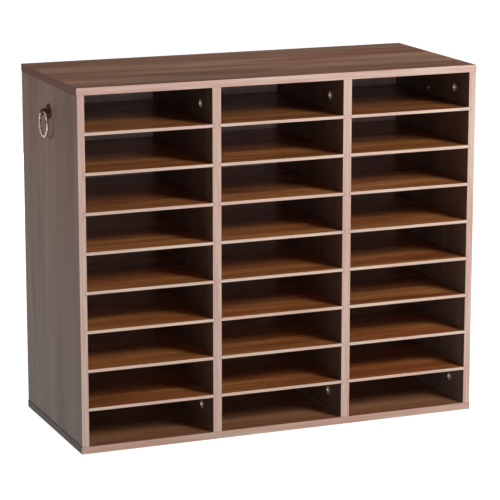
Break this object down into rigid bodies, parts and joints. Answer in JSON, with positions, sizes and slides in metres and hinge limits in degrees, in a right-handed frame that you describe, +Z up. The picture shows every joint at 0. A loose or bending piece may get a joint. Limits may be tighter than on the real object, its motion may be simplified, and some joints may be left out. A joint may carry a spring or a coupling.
{
  "type": "pigeonhole mail sorter",
  "caption": "Walnut-faced pigeonhole mail sorter with columns of open slots, thin shelves that slide out of grooves, and a ring pull on each side.",
  "frame": {"origin": "under the middle of the cabinet, on the surface that it stands on", "axes": "+X to the right as seen from the front, +Y from the front to the back, +Z up"},
  "size_m": [0.7446, 0.305, 0.61],
  "materials": {
    "walnut_board": "walnut laminate on fibreboard, satin, with pale edge bands on the front edges",
    "walnut_shelf": "walnut laminate on thin fibreboard, satin, with a pale front edge band",
    "back_board": "thin fibreboard with a dull walnut print",
    "cam_zinc": "bright zinc casting",
    "pull_metal": "nickel plate with a warm bronze tone",
    "screw_steel": "zinc-plated steel"
  },
  "bodies": {
    "cabinet": {"top_panel": "walnut_board", "bottom_panel": "walnut_board", "left_side": "walnut_board", "left_divider": "walnut_board", "right_divider": "walnut_board", "right_side": "walnut_board", "back_panel_left": "back_board", "back_panel_middle": "back_board", "back_panel_right": "back_board", "cam_left_side_top_front": "cam_zinc", "cam_left_side_top_rear": "cam_zinc", "cam_left_side_bottom_front": "cam_zinc", "cam_left_side_bottom_rear": "cam_zinc", "cam_left_divider_top_front": "cam_zinc", "cam_left_divider_top_rear": "cam_zinc", "cam_left_divider_bottom_front": "cam_zinc", "cam_left_divider_bottom_rear": "cam_zinc", "cam_right_divider_top_front": "cam_zinc", "cam_right_divider_top_rear": "cam_zinc", "cam_right_divider_bottom_front": "cam_zinc", "cam_right_divider_bottom_rear": "cam_zinc", "cam_right_side_top_front": "cam_zinc", "cam_right_side_top_rear": "cam_zinc", "cam_right_side_bottom_front": "cam_zinc", "cam_right_side_bottom_rear": "cam_zinc", "left_pull_base": "pull_metal", "right_pull_base": "pull_metal", "left_pull_screw": "screw_steel", "right_pull_screw": "screw_steel"},
    "shelf_left_1": {"shelf_left_1": "walnut_shelf"},
    "shelf_left_2": {"shelf_left_2": "walnut_shelf"},
    "shelf_left_3": {"shelf_left_3": "walnut_shelf"},
    "shelf_left_4": {"shelf_left_4": "walnut_shelf"},
    "shelf_left_5": {"shelf_left_5": "walnut_shelf"},
    "shelf_left_6": {"shelf_left_6": "walnut_shelf"},
    "shelf_left_7": {"shelf_left_7": "walnut_shelf"},
    "shelf_left_8": {"shelf_left_8": "walnut_shelf"},
    "shelf_middle_1": {"shelf_middle_1": "walnut_shelf"},
    "shelf_middle_2": {"shelf_middle_2": "walnut_shelf"},
    "shelf_middle_3": {"shelf_middle_3": "walnut_shelf"},
    "shelf_middle_4": {"shelf_middle_4": "walnut_shelf"},
    "shelf_middle_5": {"shelf_middle_5": "walnut_shelf"},
    "shelf_middle_6": {"shelf_middle_6": "walnut_shelf"},
    "shelf_middle_7": {"shelf_middle_7": "walnut_shelf"},
    "shelf_middle_8": {"shelf_middle_8": "walnut_shelf"},
    "shelf_right_1": {"shelf_right_1": "walnut_shelf"},
    "shelf_right_2": {"shelf_right_2": "walnut_shelf"},
    "shelf_right_3": {"shelf_right_3": "walnut_shelf"},
    "shelf_right_4": {"shelf_right_4": "walnut_shelf"},
    "shelf_right_5": {"shelf_right_5": "walnut_shelf"},
    "shelf_right_6": {"shelf_right_6": "walnut_shelf"},
    "shelf_right_7": {"shelf_right_7": "walnut_shelf"},
    "shelf_right_8": {"shelf_right_8": "walnut_shelf"},
    "left_ring": {"left_pull_ring": "pull_metal"},
    "right_ring": {"right_pull_ring": "pull_metal"}
  },
  "joints": [
    {"name": "shelf_left_1_slide", "type": "slide", "parent": "cabinet", "child": "shelf_left_1", "axis": [0, -1, 0], "range_m": [0, 0.295]},
    {"name": "shelf_left_2_slide", "type": "slide", "parent": "cabinet", "child": "shelf_left_2", "axis": [0, -1, 0], "range_m": [0, 0.295]},
    {"name": "shelf_left_3_slide", "type": "slide", "parent": "cabinet", "child": "shelf_left_3", "axis": [0, -1, 0], "range_m": [0, 0.295]},
    {"name": "shelf_left_4_slide", "type": "slide", "parent": "cabinet", "child": "shelf_left_4", "axis": [0, -1, 0], "range_m": [0, 0.295]},
    {"name": "shelf_left_5_slide", "type": "slide", "parent": "cabinet", "child": "shelf_left_5", "axis": [0, -1, 0], "range_m": [0, 0.295]},
    {"name": "shelf_left_6_slide", "type": "slide", "parent": "cabinet", "child": "shelf_left_6", "axis": [0, -1, 0], "range_m": [0, 0.295]},
    {"name": "shelf_left_7_slide", "type": "slide", "parent": "cabinet", "child": "shelf_left_7", "axis": [0, -1, 0], "range_m": [0, 0.295]},
    {"name": "shelf_left_8_slide", "type": "slide", "parent": "cabinet", "child": "shelf_left_8", "axis": [0, -1, 0], "range_m": [0, 0.295]},
    {"name": "shelf_middle_1_slide", "type": "slide", "parent": "cabinet", "child": "shelf_middle_1", "axis": [0, -1, 0], "range_m": [0, 0.295]},
    {"name": "shelf_middle_2_slide", "type": "slide", "parent": "cabinet", "child": "shelf_middle_2", "axis": [0, -1, 0], "range_m": [0, 0.295]},
    {"name": "shelf_middle_3_slide", "type": "slide", "parent": "cabinet", "child": "shelf_middle_3", "axis": [0, -1, 0], "range_m": [0, 0.295]},
    {"name": "shelf_middle_4_slide", "type": "slide", "parent": "cabinet", "child": "shelf_middle_4", "axis": [0, -1, 0], "range_m": [0, 0.295]},
    {"name": "shelf_middle_5_slide", "type": "slide", "parent": "cabinet", "child": "shelf_middle_5", "axis": [0, -1, 0], "range_m": [0, 0.295]},
    {"name": "shelf_middle_6_slide", "type": "slide", "parent": "cabinet", "child": "shelf_middle_6", "axis": [0, -1, 0], "range_m": [0, 0.295]},
    {"name": "shelf_middle_7_slide", "type": "slide", "parent": "cabinet", "child": "shelf_middle_7", "axis": [0, -1, 0], "range_m": [0, 0.295]},
    {"name": "shelf_middle_8_slide", "type": "slide", "parent": "cabinet", "child": "shelf_middle_8", "axis": [0, -1, 0], "range_m": [0, 0.295]},
    {"name": "shelf_right_1_slide", "type": "slide", "parent": "cabinet", "child": "shelf_right_1", "axis": [0, -1, 0], "range_m": [0, 0.295]},
    {"name": "shelf_right_2_slide", "type": "slide", "parent": "cabinet", "child": "shelf_right_2", "axis": [0, -1, 0], "range_m": [0, 0.295]},
    {"name": "shelf_right_3_slide", "type": "slide", "parent": "cabinet", "child": "shelf_right_3", "axis": [0, -1, 0], "range_m": [0, 0.295]},
    {"name": "shelf_right_4_slide", "type": "slide", "parent": "cabinet", "child": "shelf_right_4", "axis": [0, -1, 0], "range_m": [0, 0.295]},
    {"name": "shelf_right_5_slide", "type": "slide", "parent": "cabinet", "child": "shelf_right_5", "axis": [0, -1, 0], "range_m": [0, 0.295]},
    {"name": "shelf_right_6_slide", "type": "slide", "parent": "cabinet", "child": "shelf_right_6", "axis": [0, -1, 0], "range_m": [0, 0.295]},
    {"name": "shelf_right_7_slide", "type": "slide", "parent": "cabinet", "child": "shelf_right_7", "axis": [0, -1, 0], "range_m": [0, 0.295]},
    {"name": "shelf_right_8_slide", "type": "slide", "parent": "cabinet", "child": "shelf_right_8", "axis": [0, -1, 0], "range_m": [0, 0.295]},
    {"name": "left_ring_swing", "type": "hinge", "parent": "cabinet", "child": "left_ring", "pos_m": [-0.3663, 0, 0.55033], "axis": [0, 1, 0], "range_deg": [-9, 171]},
    {"name": "right_ring_swing", "type": "hinge", "parent": "cabinet", "child": "right_ring", "pos_m": [0.3663, 0, 0.55033], "axis": [0, -1, 0], "range_deg": [-9, 171]}
  ]
}
